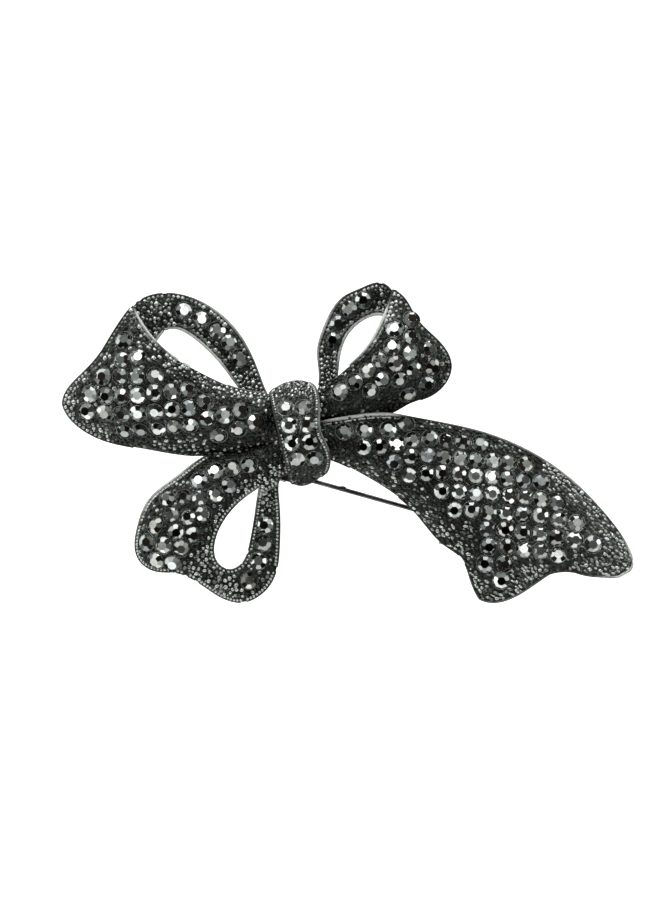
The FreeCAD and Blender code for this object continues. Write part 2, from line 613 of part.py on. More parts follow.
def pin_stem():
    """The pin: a flattened eye, a coned root, a straight stem, and a taper down to the point."""
    body = new_body("pin_stem", pin_place(0, size("pin_depth")))
    eye = body_sketch(body, "eye_edge", "XY_Plane")
    draw_circle(eye, 0, 0, "eye_radius")
    draw_circle(eye, 0, 0, "eye_bore_radius")
    pull(body, "Pad", "eye", eye, "sizes.eye_width")

    start = (size("eye_radius") + size("eye_bore_radius")) / 2
    length = size("stem_length")
    shoulder = length - size("point_length")
    edge = body_sketch(body, "stem_edge", "XY_Plane")
    draw_polygon(edge, [
        (start, 0), (length, 0), (length, size("point_radius")),
        (shoulder, size("taper_radius")), (size("taper_start"), size("stem_radius")),
        (size("root_length"), size("stem_radius")), (start, size("root_radius")),
    ])
    spin(body, "stem_turned", edge, "H_Axis")
    return body


def around(radius, degrees):
    """A point about the catch axis; 0 is away from the back and 90 is the lever's side."""
    angle = math.radians(degrees)
    return (radius * math.cos(angle), -radius * math.sin(angle))


def catch_housing():
    """An open ring on a post; the ring's mouth lets the stem in and the lever swing."""
    body = new_body("catch_housing_blank", pin_place(size("catch_distance"), size("pin_depth")))
    ring = body_sketch(body, "ring_edge", "YZ_Plane")
    draw_circle(ring, 0, 0, "housing_outer_radius")
    draw_circle(ring, 0, 0, "housing_inner_radius")
    pull(body, "Pad", "ring", ring, "sizes.housing_width")

    mouth = body_sketch(body, "mouth_edge", "YZ_Plane")
    draw_polygon(mouth, [(0, 0), around(4, -30), around(4, 18), around(4, 66), around(4, 115)])
    pull(body, "Pocket", "mouth", mouth, "sizes.housing_width + 1")

    half = size("post_width") / 2
    near = (size("housing_outer_radius") + size("housing_inner_radius")) / 2
    post = body_sketch(body, "post_edge", "YZ_Plane")
    foot = -size("post_reach")
    draw_polygon(post, [(-near, -half), (-near, half), (foot, half), (foot, -half)])
    pull(body, "Pad", "post", post, "sizes.post_width")
    return body


def catch_roller():
    """The turning catch: a slotted, flanged roller with a lever and a round thumb end."""
    body = new_body("catch_roller", pin_place(size("catch_distance"), size("pin_depth")))
    inner = size("housing_width") / 2 + size("flange_play")
    outer = inner + size("flange_thickness")
    bore = size("roller_bore_radius")
    barrel = size("roller_radius")
    flange = size("flange_radius")
    edge = body_sketch(body, "roller_edge", "XY_Plane")
    draw_polygon(edge, [
        (-outer, bore), (outer, bore), (outer, flange), (inner, flange),
        (inner, barrel), (-inner, barrel), (-inner, flange), (-outer, flange),
    ])
    spin(body, "roller_turned", edge, "H_Axis")

    half_slot = size("roller_slot_width") / 2
    slot = body_sketch(body, "slot_edge", "YZ_Plane")
    draw_polygon(slot, [(0, -half_slot), (2, -half_slot), (2, half_slot), (0, half_slot)])
    pull(body, "Pocket", "slot", slot, "sizes.housing_width + 2")

    half_lever = size("lever_thickness") / 2
    lever = body_sketch(body, "lever_edge", "YZ_Plane")
    root = (barrel + bore) / 2
    reach = size("lever_reach")
    draw_polygon(lever, [
        (-half_lever, -root), (half_lever, -root), (half_lever, -reach), (-half_lever, -reach),
    ])
    pull(body, "Pad", "lever", lever, "sizes.lever_width")

    knob = body_sketch(body, "knob_edge", "YZ_Plane")
    draw_circle(knob, 0, -reach, "lever_knob_radius")
    pull(body, "Pad", "knob", knob, "sizes.lever_width + 0.2")
    return body


hardware_parts = [hinge_base(), hinge_rivet(), pin_stem(), catch_roller()]
doc.recompute()
hardware_parts.append(boolean("Cut", "catch_housing", catch_housing(), tail_blank))
doc.recompute()

# ---------------------------------------------------------------- origin, checks and export

stem_middle = pin_place(size("stem_length") / 2 - 1.2, size("pin_depth")).Base
to_stem_middle = FreeCAD.Placement(stem_middle.negative(), FreeCAD.Rotation())

parts = cast_parts + hardware_parts
for part in parts:
    part.Label = part.Name
    part.Placement = to_stem_middle.multiply(part.Placement)
doc.recompute()

for item in doc.Objects:
    if "Invalid" in item.State or "Error" in item.State:
        raise RuntimeError("%s did not compute: %s" % (item.Label, item.State))
for part in parts:
    if part.Shape.isNull() or not part.Shape.isValid():
        raise RuntimeError("%s has no sound shape" % part.Label)

os.makedirs("parts", exist_ok=True)
for part in parts:
    part.Shape.exportStep("parts/%s.step" % part.Label)
    box = part.Shape.BoundBox
    print("%-24s solids %3d  volume %8.2f mm3  size %5.1f x %5.1f x %5.1f" % (
        part.Label, len(part.Shape.Solids), part.Shape.Volume, box.XLength, box.YLength, box.ZLength))
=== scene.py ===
"""Ribbon-bow brooch: cut stones, seats, grain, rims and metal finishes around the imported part."""
import json
import math
import random

import bpy
import numpy as np
from mathutils import Matrix, Vector
from mathutils.bvhtree import BVHTree
from mathutils.kdtree import KDTree

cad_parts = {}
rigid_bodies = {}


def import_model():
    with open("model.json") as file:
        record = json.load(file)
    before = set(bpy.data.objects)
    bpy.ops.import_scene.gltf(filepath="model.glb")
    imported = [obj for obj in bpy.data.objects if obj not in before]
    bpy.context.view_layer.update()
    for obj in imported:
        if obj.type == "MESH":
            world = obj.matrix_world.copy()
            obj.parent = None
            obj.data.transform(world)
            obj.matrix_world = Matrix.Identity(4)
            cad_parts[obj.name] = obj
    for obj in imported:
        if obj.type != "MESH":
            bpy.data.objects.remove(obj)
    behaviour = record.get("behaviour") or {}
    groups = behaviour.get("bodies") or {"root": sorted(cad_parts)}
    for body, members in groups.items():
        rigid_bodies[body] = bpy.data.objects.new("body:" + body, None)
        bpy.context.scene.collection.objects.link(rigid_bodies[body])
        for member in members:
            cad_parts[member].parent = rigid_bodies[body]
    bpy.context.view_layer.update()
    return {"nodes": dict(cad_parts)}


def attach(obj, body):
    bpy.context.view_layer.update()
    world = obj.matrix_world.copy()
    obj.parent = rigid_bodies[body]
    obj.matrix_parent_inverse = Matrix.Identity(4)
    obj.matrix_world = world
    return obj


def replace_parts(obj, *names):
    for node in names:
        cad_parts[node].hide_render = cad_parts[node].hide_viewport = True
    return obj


MM = 0.001
OUTWARD = Vector((0.0, -1.0, 0.0))

for left_over in list(bpy.data.objects):
    bpy.data.objects.remove(left_over)

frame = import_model()
nodes = frame["nodes"]

# ---------------------------------------------------------------- stones of each ribbon
STONES_ON = {
    "left_loop": ("left_loop_stones", "left_loop_rear_stones"),
    "upper_loop": ("upper_loop_stones", "upper_loop_rear_stones"),
    "lower_loop": ("lower_loop_stones", "lower_loop_rear_stones"),
    "tail": ("tail_stones",),
    "knot": ("knot_stones",),
}
# the cut stone, in millimetres: radius at the girdle, depth below it and height above it
GIRDLE = 1.03
SUNK = 0.45
CROWN = 0.5
# each ring of facets: tilt from the table in degrees, and how far out and how high it passes
KITES = (41, 0.50, CROWN)
BREAKS = (50, GIRDLE * 0.985, 0.06)
STARS = (24, 0.515, CROWN)
# the most a stone is widened, and the room it needs to its neighbour, in millimetres, when it is not
LARGEST = 1.10
ROOM_NEEDED = 1.055
# the wall round a stone, in millimetres: its ring, its thickness, how far up it sits, and its stretch
WALL_RADIUS = 1.075
WALL_THICKNESS = 0.09
WALL_RISE = 0.07
WALL_STRETCH = 1.7
# where a bead of radius 1 is cut off below, and how much lower than round it is
BEAD_FOOT = -0.2
BEAD_LOWER = 0.72
# two faces belong to one flat when their directions agree this well
SAME_FLAT = 0.9995
# the attribute that holds the tone of each stone or bead
TINT = "tint"


# ---------------------------------------------------------------- working by hand
def nothing_selected():
    """Lets go of everything before a new piece is started."""
    if bpy.context.object and bpy.context.object.mode != "OBJECT":
        bpy.ops.object.mode_set(mode="OBJECT")
    bpy.ops.object.select_all(action="DESELECT")


def only(piece):
    """Picks up one piece."""
    nothing_selected()
    piece.select_set(True)
    bpy.context.view_layer.objects.active = piece


def open_up(piece, kind="FACE"):
    """Edit mode on one piece, with nothing in it selected."""
    only(piece)
    bpy.ops.object.mode_set(mode="EDIT")
    bpy.ops.mesh.select_mode(type=kind)
    bpy.ops.mesh.select_all(action="DESELECT")


def close_up():
    """Back to object mode."""
    bpy.ops.object.mode_set(mode="OBJECT")


def settle(piece, name, matrix=None):
    """Puts the place, turn and size of a piece into its mesh and names it."""
    if matrix is None:
        matrix = piece.matrix_world
    piece.data.transform(matrix)
    piece.matrix_world = Matrix.Identity(4)
    piece.name = name
    piece.data.name = name
    return piece


def toned(piece, tones):
    """Gives each point of a piece its own tone."""
    tint = piece.data.attributes.new(TINT, "FLOAT", "POINT")
    tint.data.foreach_set("value", tones)


def join_as(parts, name):
    """Joins copies into one piece."""
    nothing_selected()
    for part in parts:
        part.select_set(True)
    bpy.context.view_layer.objects.active = parts[0]
    bpy.ops.object.join()
    parts[0].name = name
    parts[0].data.name = name
    return parts[0]


def copies(shape, places, name, tints=None):
    """Copies of one shape, each with its own mesh, joined as one piece."""
    made = []
    for index, place in enumerate(places):
        one = shape.copy()
        one.data = shape.data.copy()
        one.data.transform(place)
        if tints is not None:
            toned(one, [tints[index]] * len(one.data.vertices))
        bpy.context.scene.collection.objects.link(one)
        made.append(one)
    return join_as(made, name)


def any_way(dice):
    """A random direction and reach, from seeded dice."""
    return Vector((dice.gauss(0, 1), dice.gauss(0, 1), dice.gauss(0, 1)))


def standing(centre, normal, turn, size):
    """A place on a face: the shape's Z along the face's outward direction."""
    upright = normal.to_track_quat("Z", "Y").to_matrix().to_4x4()
    scale = Matrix.Diagonal((size[0] * MM, size[1] * MM, size[2] * MM, 1.0))
    return Matrix.Translation(centre) @ upright @ Matrix.Rotation(turn, 4, "Z") @ scale


# ---------------------------------------------------------------- where the stones sit
def loose_parts(mesh):
    """Faces of a CAD mesh grouped by the solid they belong to."""
    # corners that agree to a thousandth of a millimetre are one
    corner = {}
    same = [corner.setdefault(tuple(round(c * 1e6) for c in v.co), i) for i, v in enumerate(mesh.vertices)]
    owner = list(range(len(same)))

    def top(i):
        while owner[i] != i:
            owner[i] = owner[owner[i]]
            i = owner[i]
        return i

    for face in mesh.polygons:
        first = top(same[face.vertices[0]])
        for v in face.vertices[1:]:
            owner[top(same[v])] = first
    groups = {}
    for face in mesh.polygons:
        groups.setdefault(top(same[face.vertices[0]]), []).append(face)
    return list(groups.values())


def stone_places(node):
    """Middle of the girdle and outward direction of every stone in a group."""
    places = []
    for faces in loose_parts(nodes[node].data):
        flats = []
        for face in faces:
            for flat in flats:
                if flat[0].dot(face.normal) > SAME_FLAT:
                    flat[1] += face.area
                    flat[2] += face.center * face.area
                    break
            else:
                flats.append([face.normal.copy(), face.area, face.center * face.area])
        base = max(flats, key=lambda flat: flat[1])
        outward = -base[0]
        places.append((base[2] / base[1] + outward * SUNK * MM, outward))
    places.sort(key=lambda place: (round(place[0].x, 6), round(place[0].z, 6)))
    return places


seats = {node: stone_places(node) for group in STONES_ON.values() for node in group}


def tree_of_metal():
    """All ribbons and the knot as one tree for finding what covers a place."""
    points = []
    faces = []
    for ribbon in STONES_ON:
        mesh = nodes[ribbon].data
        first = len(points)
        points.extend(v.co.copy() for v in mesh.vertices)
        faces.extend([first + i for i in face.vertices] for face in mesh.polygons)
    return BVHTree.FromPolygons(points, faces)


def tree_of_points(points):
    """A tree that finds the nearest of some points."""
    tree = KDTree(len(points))
    for index, point in enumerate(points):
        tree.insert(point, index)
    tree.balance()
    return tree


metal_tree = tree_of_metal()
seat_tree = tree_of_points([centre for places in seats.values() for centre, _outward in places])


def room_for_stone(centre):
    """How far a stone and its wall may be widened before they meet their nearest neighbour."""
    _spot, _which, apart = seat_tree.find_n(centre, 2)[1]
    return min(LARGEST, apart / MM / 2 / ROOM_NEEDED)


# ---------------------------------------------------------------- shapes that repeat
def cut_facets(tilt, radius, height, turn):
    """Grinds a ring of eight flats, tilted from the table and passing at a radius and height."""
    lean = math.radians(tilt)
    for k in range(8):
        around = turn + 2 * math.pi * k / 8
        bpy.ops.mesh.select_all(action="SELECT")
        bpy.ops.mesh.bisect(
            plane_co=(radius * math.cos(around), radius * math.sin(around), height),
            plane_no=(math.sin(lean) * math.cos(around), math.sin(lean) * math.sin(around), math.cos(lean)),
            use_fill=True, clear_outer=True, threshold=1e-5,
        )


def cut_stone():
    """A round flat-back stone, in millimetres: table, stars, kites and breaks over a thin girdle."""
    nothing_selected()
    bpy.ops.mesh.primitive_cylinder_add(
        vertices=16, radius=GIRDLE, depth=CROWN + SUNK, location=(0, 0, (CROWN - SUNK) / 2)
    )
    stone = bpy.context.object
    bpy.ops.object.transform_apply(location=True, rotation=True, scale=True)
    open_up(stone)
    # the breaks and the stars lie halfway between the kites
    halfway = math.pi / 8
    cut_facets(*KITES, 0)
    cut_facets(*BREAKS, halfway)
    cut_facets(*STARS, halfway)
    bpy.ops.mesh.select_all(action="SELECT")
    bpy.ops.mesh.remove_doubles(threshold=1e-4)
    close_up()
    return settle(stone, "cut_stone")


def seat_wall():
    """The thin raised wall round one stone, in millimetres."""
    nothing_selected()
    bpy.ops.mesh.primitive_torus_add(
        major_segments=20, minor_segments=4, major_radius=WALL_RADIUS, minor_radius=WALL_THICKNESS / 2,
        location=(0, 0, WALL_RISE),
    )
    wall = bpy.context.object
    bpy.ops.object.transform_apply(location=True, rotation=True, scale=True)
    open_up(wall)
    bpy.ops.mesh.select_all(action="SELECT")
    bpy.ops.transform.resize(value=(1.0, 1.0, WALL_STRETCH))
    close_up()
    bpy.ops.object.shade_smooth()
    return settle(wall, "seat_wall")


def grain_bead(name, segments, rings):
    """One low bead of the cast grain, two units across."""
    nothing_selected()
    bpy.ops.mesh.primitive_uv_sphere_add(segments=segments, ring_count=rings, radius=1.0)
    bead = bpy.context.object
    open_up(bead)
    bpy.ops.mesh.select_all(action="SELECT")
    bpy.ops.mesh.bisect(
        plane_co=(0, 0, BEAD_FOOT), plane_no=(0, 0, -1), use_fill=False, clear_outer=True, threshold=1e-5
    )
    bpy.ops.mesh.select_all(action="SELECT")
    bpy.ops.transform.resize(value=(1.0, 1.0, BEAD_LOWER))
    close_up()
    bpy.ops.object.shade_smooth()
    return settle(bead, name)


# ---------------------------------------------------------------- finishes
def new_finish(name):
    """An empty node material with its shader and object coordinates."""
    material = bpy.data.materials.new(name)
    material.use_nodes = True
    tree = material.node_tree
    shader = tree.nodes["Principled BSDF"]
    where = tree.nodes.new("ShaderNodeTexCoord").outputs["Object"]
    return material, tree, shader, where


def noise(tree, where, per_metre, detail=4.0, roughness=0.6, stretch=None):
    """Cloudy variation of one size, drawn out along an axis when stretch is given."""
    node = tree.nodes.new("ShaderNodeTexNoise")
    node.inputs["Scale"].default_value = per_metre
    node.inputs["Detail"].default_value = detail
    node.inputs["Roughness"].default_value = roughness
    if stretch:
        mapping = tree.nodes.new("ShaderNodeMapping")
        mapping.inputs["Rotation"].default_value = stretch[0]
        mapping.inputs["Scale"].default_value = stretch[1]
        tree.links.new(where, mapping.inputs["Vector"])
        where = mapping.outputs["Vector"]
    tree.links.new(where, node.inputs["Vector"])
    return node.outputs["Fac"]


def own_tones(tree):
    """The tone that each stone or bead carries."""
    tint = tree.nodes.new("ShaderNodeAttribute")
    tint.attribute_name = TINT
    return tint.outputs["Fac"]


def ramp(tree, value, stops):
    """Colour from a value, as (place, (r, g, b)) stops."""
    node = tree.nodes.new("ShaderNodeValToRGB")
    points = node.color_ramp.elements
    while len(points) < len(stops):
        points.new(0.5)
    for point, (place, colour) in zip(points, stops):
        point.position = place
        point.color = (*colour, 1.0)
    tree.links.new(value, node.inputs["Fac"])
    return node.outputs["Color"]


def mapped(tree, value, low, high, from_low=0.3, from_high=0.7):
    """A value spread between two limits."""
    node = tree.nodes.new("ShaderNodeMapRange")
    node.inputs["From Min"].default_value = from_low
    node.inputs["From Max"].default_value = from_high
    node.inputs["To Min"].default_value = low
    node.inputs["To Max"].default_value = high
    tree.links.new(value, node.inputs["Value"])
    return node.outputs["Result"]


def raised(tree, shader, heights):
    """Bumps of several sizes, as (value, strength, distance in metres)."""
    before = None
    for value, strength, distance in heights:
        bump = tree.nodes.new("ShaderNodeBump")
        bump.inputs["Strength"].default_value = strength
        bump.inputs["Distance"].default_value = distance
        tree.links.new(value, bump.inputs["Height"])
        if before is not None:
            tree.links.new(before, bump.inputs["Normal"])
        before = bump.outputs["Normal"]
    tree.links.new(before, shader.inputs["Normal"])


# painted shade: the casting's tone this near the knot, where the loops crowd over it and shade it, and this
# far from it
KNOT_MIDDLE = (-8.0 * MM, -6.0 * MM, 9.0 * MM)
NEAR_KNOT, DARKER = 22.0 * MM, 0.9
FAR_OUT, LIGHTER = 38.0 * MM, 1.9


def painted_shade_round_knot(tree, where, tone):
    """Painted shade: blacker round the knot, where the loops crowd over it, and lighter towards the far ends.
    """
    away = tree.nodes.new("ShaderNodeVectorMath")
    away.operation = "DISTANCE"
    away.inputs[1].default_value = KNOT_MIDDLE
    tree.links.new(where, away.inputs[0])
    times = tree.nodes.new("ShaderNodeVectorMath")
    times.operation = "SCALE"
    tree.links.new(tone, times.inputs["Vector"])
    times_tone = mapped(tree, away.outputs["Value"], DARKER, LIGHTER, NEAR_KNOT, FAR_OUT)
    tree.links.new(times_tone, times.inputs["Scale"])
    return times.outputs["Vector"]


# the casting's clouds, grain and pits, in patterns per metre, and how deep the last two are
CLOUDS = 420.0
GRAINS = 2600.0
PITS = 9000.0
GRAIN_DEPTH = 0.12 * MM
PIT_DEPTH = 0.03 * MM


def cast_metal(name, dark, light, roughness, bump, own_tone=False, metallic=1.0):
    """Blackened casting: cloudy tone, fine grain and pits. Beads may each carry their own tone."""
    material, tree, shader, where = new_finish(name)
    if own_tone:
        cloud = own_tones(tree)
    else:
        cloud = noise(tree, where, CLOUDS, 5.0, 0.65)
    grain = noise(tree, where, GRAINS, 3.0, 0.55)
    fine = noise(tree, where, PITS, 2.0, 0.5)
    mix = tree.nodes.new("ShaderNodeMix")
    mix.data_type = "FLOAT"
    mix.inputs["Factor"].default_value = 0.3 if own_tone else 0.6
    tree.links.new(cloud, mix.inputs["A"])
    tree.links.new(grain, mix.inputs["B"])
    between = tuple((a + b) / 2.6 for a, b in zip(dark, light))
    tone = ramp(tree, mix.outputs["Result"], [(0.34, dark), (0.52, between), (0.7, light)])
    # painted shade round the knot, on the plain casting only
    if not own_tone:
        tone = painted_shade_round_knot(tree, where, tone)
    tree.links.new(tone, shader.inputs["Base Color"])
    shader.inputs["Metallic"].default_value = metallic
    tree.links.new(mapped(tree, grain, *roughness), shader.inputs["Roughness"])
    raised(tree, shader, [(grain, bump, GRAIN_DEPTH), (fine, bump * 0.6, PIT_DEPTH)])
    return material


def stone_glass():
    """Black-diamond foiled glass: each stone a little different, mirror-like facets."""
    material, tree, shader, where = new_finish("black_diamond_glass")
    colour = ramp(tree, own_tones(tree), [
        (0.0, (0.34, 0.36, 0.37)), (0.35, (0.48, 0.50, 0.49)), (0.70, (0.62, 0.64, 0.62)),
        (0.92, (0.44, 0.44, 0.42)), (1.0, (0.40, 0.38, 0.35)),
    ])
    cloud = noise(tree, where, 1300.0, 3.0, 0.6)
    shade = ramp(tree, cloud, [(0.3, (0.72, 0.73, 0.74)), (0.65, (1.0, 1.0, 0.99))])
    mix = tree.nodes.new("ShaderNodeMix")
    mix.data_type = "RGBA"
    mix.blend_type = "MULTIPLY"
    mix.inputs["Factor"].default_value = 1.0
    tree.links.new(colour, mix.inputs["A"])
    tree.links.new(shade, mix.inputs["B"])
    tree.links.new(mix.outputs["Result"], shader.inputs["Base Color"])
    shader.inputs["Metallic"].default_value = 1.0
    tree.links.new(mapped(tree, cloud, 0.03, 0.10), shader.inputs["Roughness"])
    raised(tree, shader, [(noise(tree, where, 900.0, 2.0), 0.03, 0.02 * MM)])
    shader.inputs["Coat Weight"].default_value = 0.5
    shader.inputs["Coat Roughness"].default_value = 0.03
    return material


def drawn_steel(name, dark, light, roughness, along):
    """Blackened steel wire and sheet, with fine lines drawn along the part."""
    material, tree, shader, where = new_finish(name)
    lines = noise(tree, where, 5200.0, 4.0, 0.6, along)
    cloud = noise(tree, where, 500.0, 4.0, 0.6)
    tree.links.new(ramp(tree, cloud, [(0.35, dark), (0.68, light)]), shader.inputs["Base Color"])
    shader.inputs["Metallic"].default_value = 1.0
    tree.links.new(mapped(tree, lines, *roughness), shader.inputs["Roughness"])
    raised(tree, shader, [(lines, 0.25, 0.02 * MM), (cloud, 0.15, 0.05 * MM)])
    return material


def dressed(node, material):
    """Gives a CAD node a finish."""
    for place in nodes[node].material_slots:
        place.material = material


SOOT = (0.05, 0.052, 0.05)
CASTING = cast_metal("blackened_casting", (0.010, 0.011, 0.010), (0.14, 0.15, 0.14), (0.24, 0.44), 0.9)
# the beads' own tone: random, plus painted shade beside the stones and painted highlight and shade patches
GRAIN_METAL = cast_metal("grain_random_tone_and_painted_light", SOOT, (0.82, 0.85, 0.82), (0.18, 0.38), 0.4, own_tone=True)
WALL_METAL = cast_metal("seat_wall_metal", SOOT, (0.80, 0.83, 0.80), (0.14, 0.32), 0.5)
# the rim's tone carries a painted highlight where it is broad, and the painted highlight and shade patches
RIM_METAL = cast_metal("rim_painted_highlight_metal", SOOT, (0.97, 0.98, 0.96), (0.32, 0.58), 0.5, own_tone=True, metallic=0.3)
GLASS = stone_glass()
# the turn that lays the lines along the pin, which slopes down to the right, and their stretch
PIN_SLOPE = 15.7
ALONG_PIN = ((0.0, math.radians(-PIN_SLOPE), 0.0), (0.05, 1.0, 1.0))
STEEL = drawn_steel("blackened_steel", (0.14, 0.14, 0.145), (0.48, 0.48, 0.47), (0.22, 0.42), ALONG_PIN)
PIN_STEEL = drawn_steel("pin_wire_steel", (0.06, 0.06, 0.06), (0.20, 0.20, 0.20), (0.16, 0.30), ALONG_PIN)

for ribbon in STONES_ON:
    dressed(ribbon, CASTING)
for steel_part in ("hinge_base", "hinge_rivet", "catch_housing", "catch_roller"):
    dressed(steel_part, STEEL)
dressed("pin_stem", PIN_STEEL)


def brooch_piece(piece, material):
    """Finish, body and slot of a piece on the fixed part of the brooch."""
    piece.data.materials.clear()
    piece.data.materials.append(material)
    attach(piece, "brooch")
    return piece


# ---------------------------------------------------------------- stones and their seats
# how far a stone sits out of true
STONE_LEAN = 0.075
draw = random.Random(41)
stone_shape = cut_stone()
wall_shape = seat_wall()
bead_shape = grain_bead("grain_bead", 8, 6)
seed_shape = grain_bead("grain_seed", 6, 4)

for node, places in seats.items():
    set_stones = []
    walls = []
    tints = []
    for centre, outward in places:
        lean = any_way(draw) * STONE_LEAN
        facing = (outward + lean).normalized()
        wide = room_for_stone(centre)
        set_stones.append(standing(centre, facing, draw.uniform(0, math.pi), (wide, wide, 1.0)))
        walls.append(standing(centre, outward, draw.uniform(0, math.pi), (wide, wide, 1.0)))
        tints.append(draw.random())
    piece = copies(stone_shape, set_stones, node.replace("stones", "cut_stones"), tints)
    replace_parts(brooch_piece(piece, GLASS), node)
    brooch_piece(copies(wall_shape, walls, node.replace("stones", "seat_walls")), WALL_METAL)


# ---------------------------------------------------------------- outlines of the ribbon faces
def walks(mesh, keep):
    """Kept edges in walking order, as runs of (point, face normal, wall normal)."""
    beside = {}
    for edge in keep:
        for here, there in (edge, edge[::-1]):
            beside.setdefault(here, []).append((there, edge))
    used = set()
    runs = []
    starts = sorted(beside, key=lambda v: (len(beside[v]) == 2, v))
    for start in starts:
        run = []
        here = start
        while True:
            onward = [(there, edge) for there, edge in beside[here] if edge not in used]
            if not onward:
                break
            there, edge = onward[0]
            used.add(edge)
            if not run:
                run.append((mesh.vertices[here].co.copy(), *keep[edge]))
            run.append((mesh.vertices[there].co.copy(), *keep[edge]))
            here = there
        if len(run) > 1:
            runs.append(run)
    return runs


# the corner where the left loop folds over, too tight for a rim, and how far it reaches
LEFT_FOLD = Vector((-30.5, -7.6, 24.8)) * MM
FOLD_REACH = 0.9 * MM
# an outline edge: its two faces agree no better than this, one looks outward and one sideways
SHARP = 0.7
LOOKS_OUT = 0.05
LOOKS_SIDEWAYS = 0.04
# an edge shut in on both sides within this distance is hidden; the look starts off the edge
SHUT_IN = 4.0 * MM
OFF_EDGE = 0.03 * MM
# nothing of an outline runs this close to a stone's middle
CLEAR_OF_STONE = 1.2 * MM


def outline_of(ribbon):
    """A wire copy of a ribbon that keeps only the outline of its decorated face, in millimetres."""
    wire = nodes[ribbon].copy()
    wire.data = nodes[ribbon].data.copy()
    wire.parent = None
    for key in list(wire.keys()):
        del wire[key]
    bpy.context.scene.collection.objects.link(wire)
    wire.matrix_world = Matrix.Identity(4)
    wire.data.transform(Matrix.Scale(1 / MM, 4))
    open_up(wire, "EDGE")
    bpy.ops.mesh.select_all(action="SELECT")
    bpy.ops.mesh.remove_doubles(threshold=1e-4)
    close_up()
    mesh = wire.data
    sides = {}
    for face in mesh.polygons:
        for edge in face.edge_keys:
            sides.setdefault(edge, []).append(face.normal.copy())
    keep = {}
    for edge, normals in sides.items():
        if len(normals) != 2 or normals[0].dot(normals[1]) > SHARP:
            continue
        wall, face = sorted(normals, key=lambda n: n.dot(OUTWARD))
        if face.dot(OUTWARD) < LOOKS_OUT or abs(wall.dot(OUTWARD)) > LOOKS_SIDEWAYS:
            continue
        middle = (mesh.vertices[edge[0]].co + mesh.vertices[edge[1]].co) / 2 * MM
        covered = [metal_tree.ray_cast(middle + side * OFF_EDGE, side, SHUT_IN)[0] for side in (face, wall)]
        at_fold = (middle - LEFT_FOLD).length < FOLD_REACH
        if seat_tree.find(middle)[2] > CLEAR_OF_STONE and None in covered and not at_fold:
            keep[edge] = (face, wall)
    runs = walks(mesh, keep)
    open_up(wire, "EDGE")
    bpy.ops.mesh.select_all(action="SELECT")
    bpy.ops.mesh.delete(type="ONLY_FACE")
    close_up()
    for edge in mesh.edges:
        edge.select = tuple(sorted(edge.vertices)) not in keep
    only(wire)
    bpy.ops.object.mode_set(mode="EDIT")
    bpy.ops.mesh.select_mode(type="EDGE")
    bpy.ops.mesh.delete(type="EDGE")
    close_up()
    return wire, runs


outlines = {ribbon: outline_of(ribbon) for ribbon in STONES_ON}


# ---------------------------------------------------------------- grain on the ribbon faces
# painted highlight (+) or painted shade (-): x, z, reach in millimetres and change of tone
LIT_AND_SHADED_PATCHES = (
    (-36.5, 12.5, 7.0, 0.30), (-24.3, 24.9, 8.0, 0.22), (-15.2, 14.5, 3.5, 0.45),
    (-5.4, 15.8, 4.0, 0.45), (32.9, -8.2, 6.0, 0.35), (22.5, 5.4, 8.0, 0.15), (-25.6, 0.9, 5.0, 0.30),
    (-15.2, 2.2, 4.0, 0.25), (-19.0, -11.5, 8.0, 0.22), (-22.0, 16.5, 5.0, 0.25), (2.5, 24.0, 2.5, 0.3),
    (18.0, -11.5, 7.0, 0.3), (27.0, 0.0, 6.0, 0.25), (-13.6, -0.4, 3.5, 0.35), (-15.2, 8.0, 6.0, -0.30),
    (0.4, 11.9, 8.0, -0.38), (-8.0, 3.4, 3.0, -0.40), (-2.2, 7.4, 5.0, -0.20), (-28.2, 7.4, 5.0, -0.15),
    (6.5, 13.0, 4.0, -0.2),
)


def tone_within(tone):
    """A tone kept between black and bright."""
    return min(1.0, max(0.0, tone))


def painted_light_and_shade(spot):
    """How much painted highlight or painted shade the metal gets at a place."""
    change = 0.0
    for x, z, reach, amount in LIT_AND_SHADED_PATCHES:
        away = math.hypot(spot.x / MM - x, spot.z / MM - z) / reach
        if away < 1.0:
            change += amount * (1.0 - away * away)
    return change


# a plane well in front of the brooch
IN_FRONT = -30.0 * MM


def inside_outline(spot, reach):
    """Whether a bead of some reach stays over metal all round, seen from the front."""
    for step in range(8):
        around = step * math.pi / 4
        start = Vector((spot.x + reach * math.cos(around), IN_FRONT, spot.z + reach * math.sin(around)))
        if metal_tree.ray_cast(start, -OUTWARD)[0] is None:
            return False
    return True


# the clear space kept round beads, stones and rims, and the parts of a bead's radius that count
BEADS_APART = 0.93
STONE_EDGE = 1.13 * MM
RIM_EDGE = 0.12 * MM
BEAD_PART = 0.8
OVER_METAL = 0.9
# a bead under metal nearer than this is left out; the look starts a little above the face
COVERED = 1.2 * MM
LIFT = 0.05 * MM
# the side of a cell of space, for finding a bead's neighbours
CELL = 0.7 * MM
# beads stand only where the face looks outward at least this much
DECORATED = 0.15


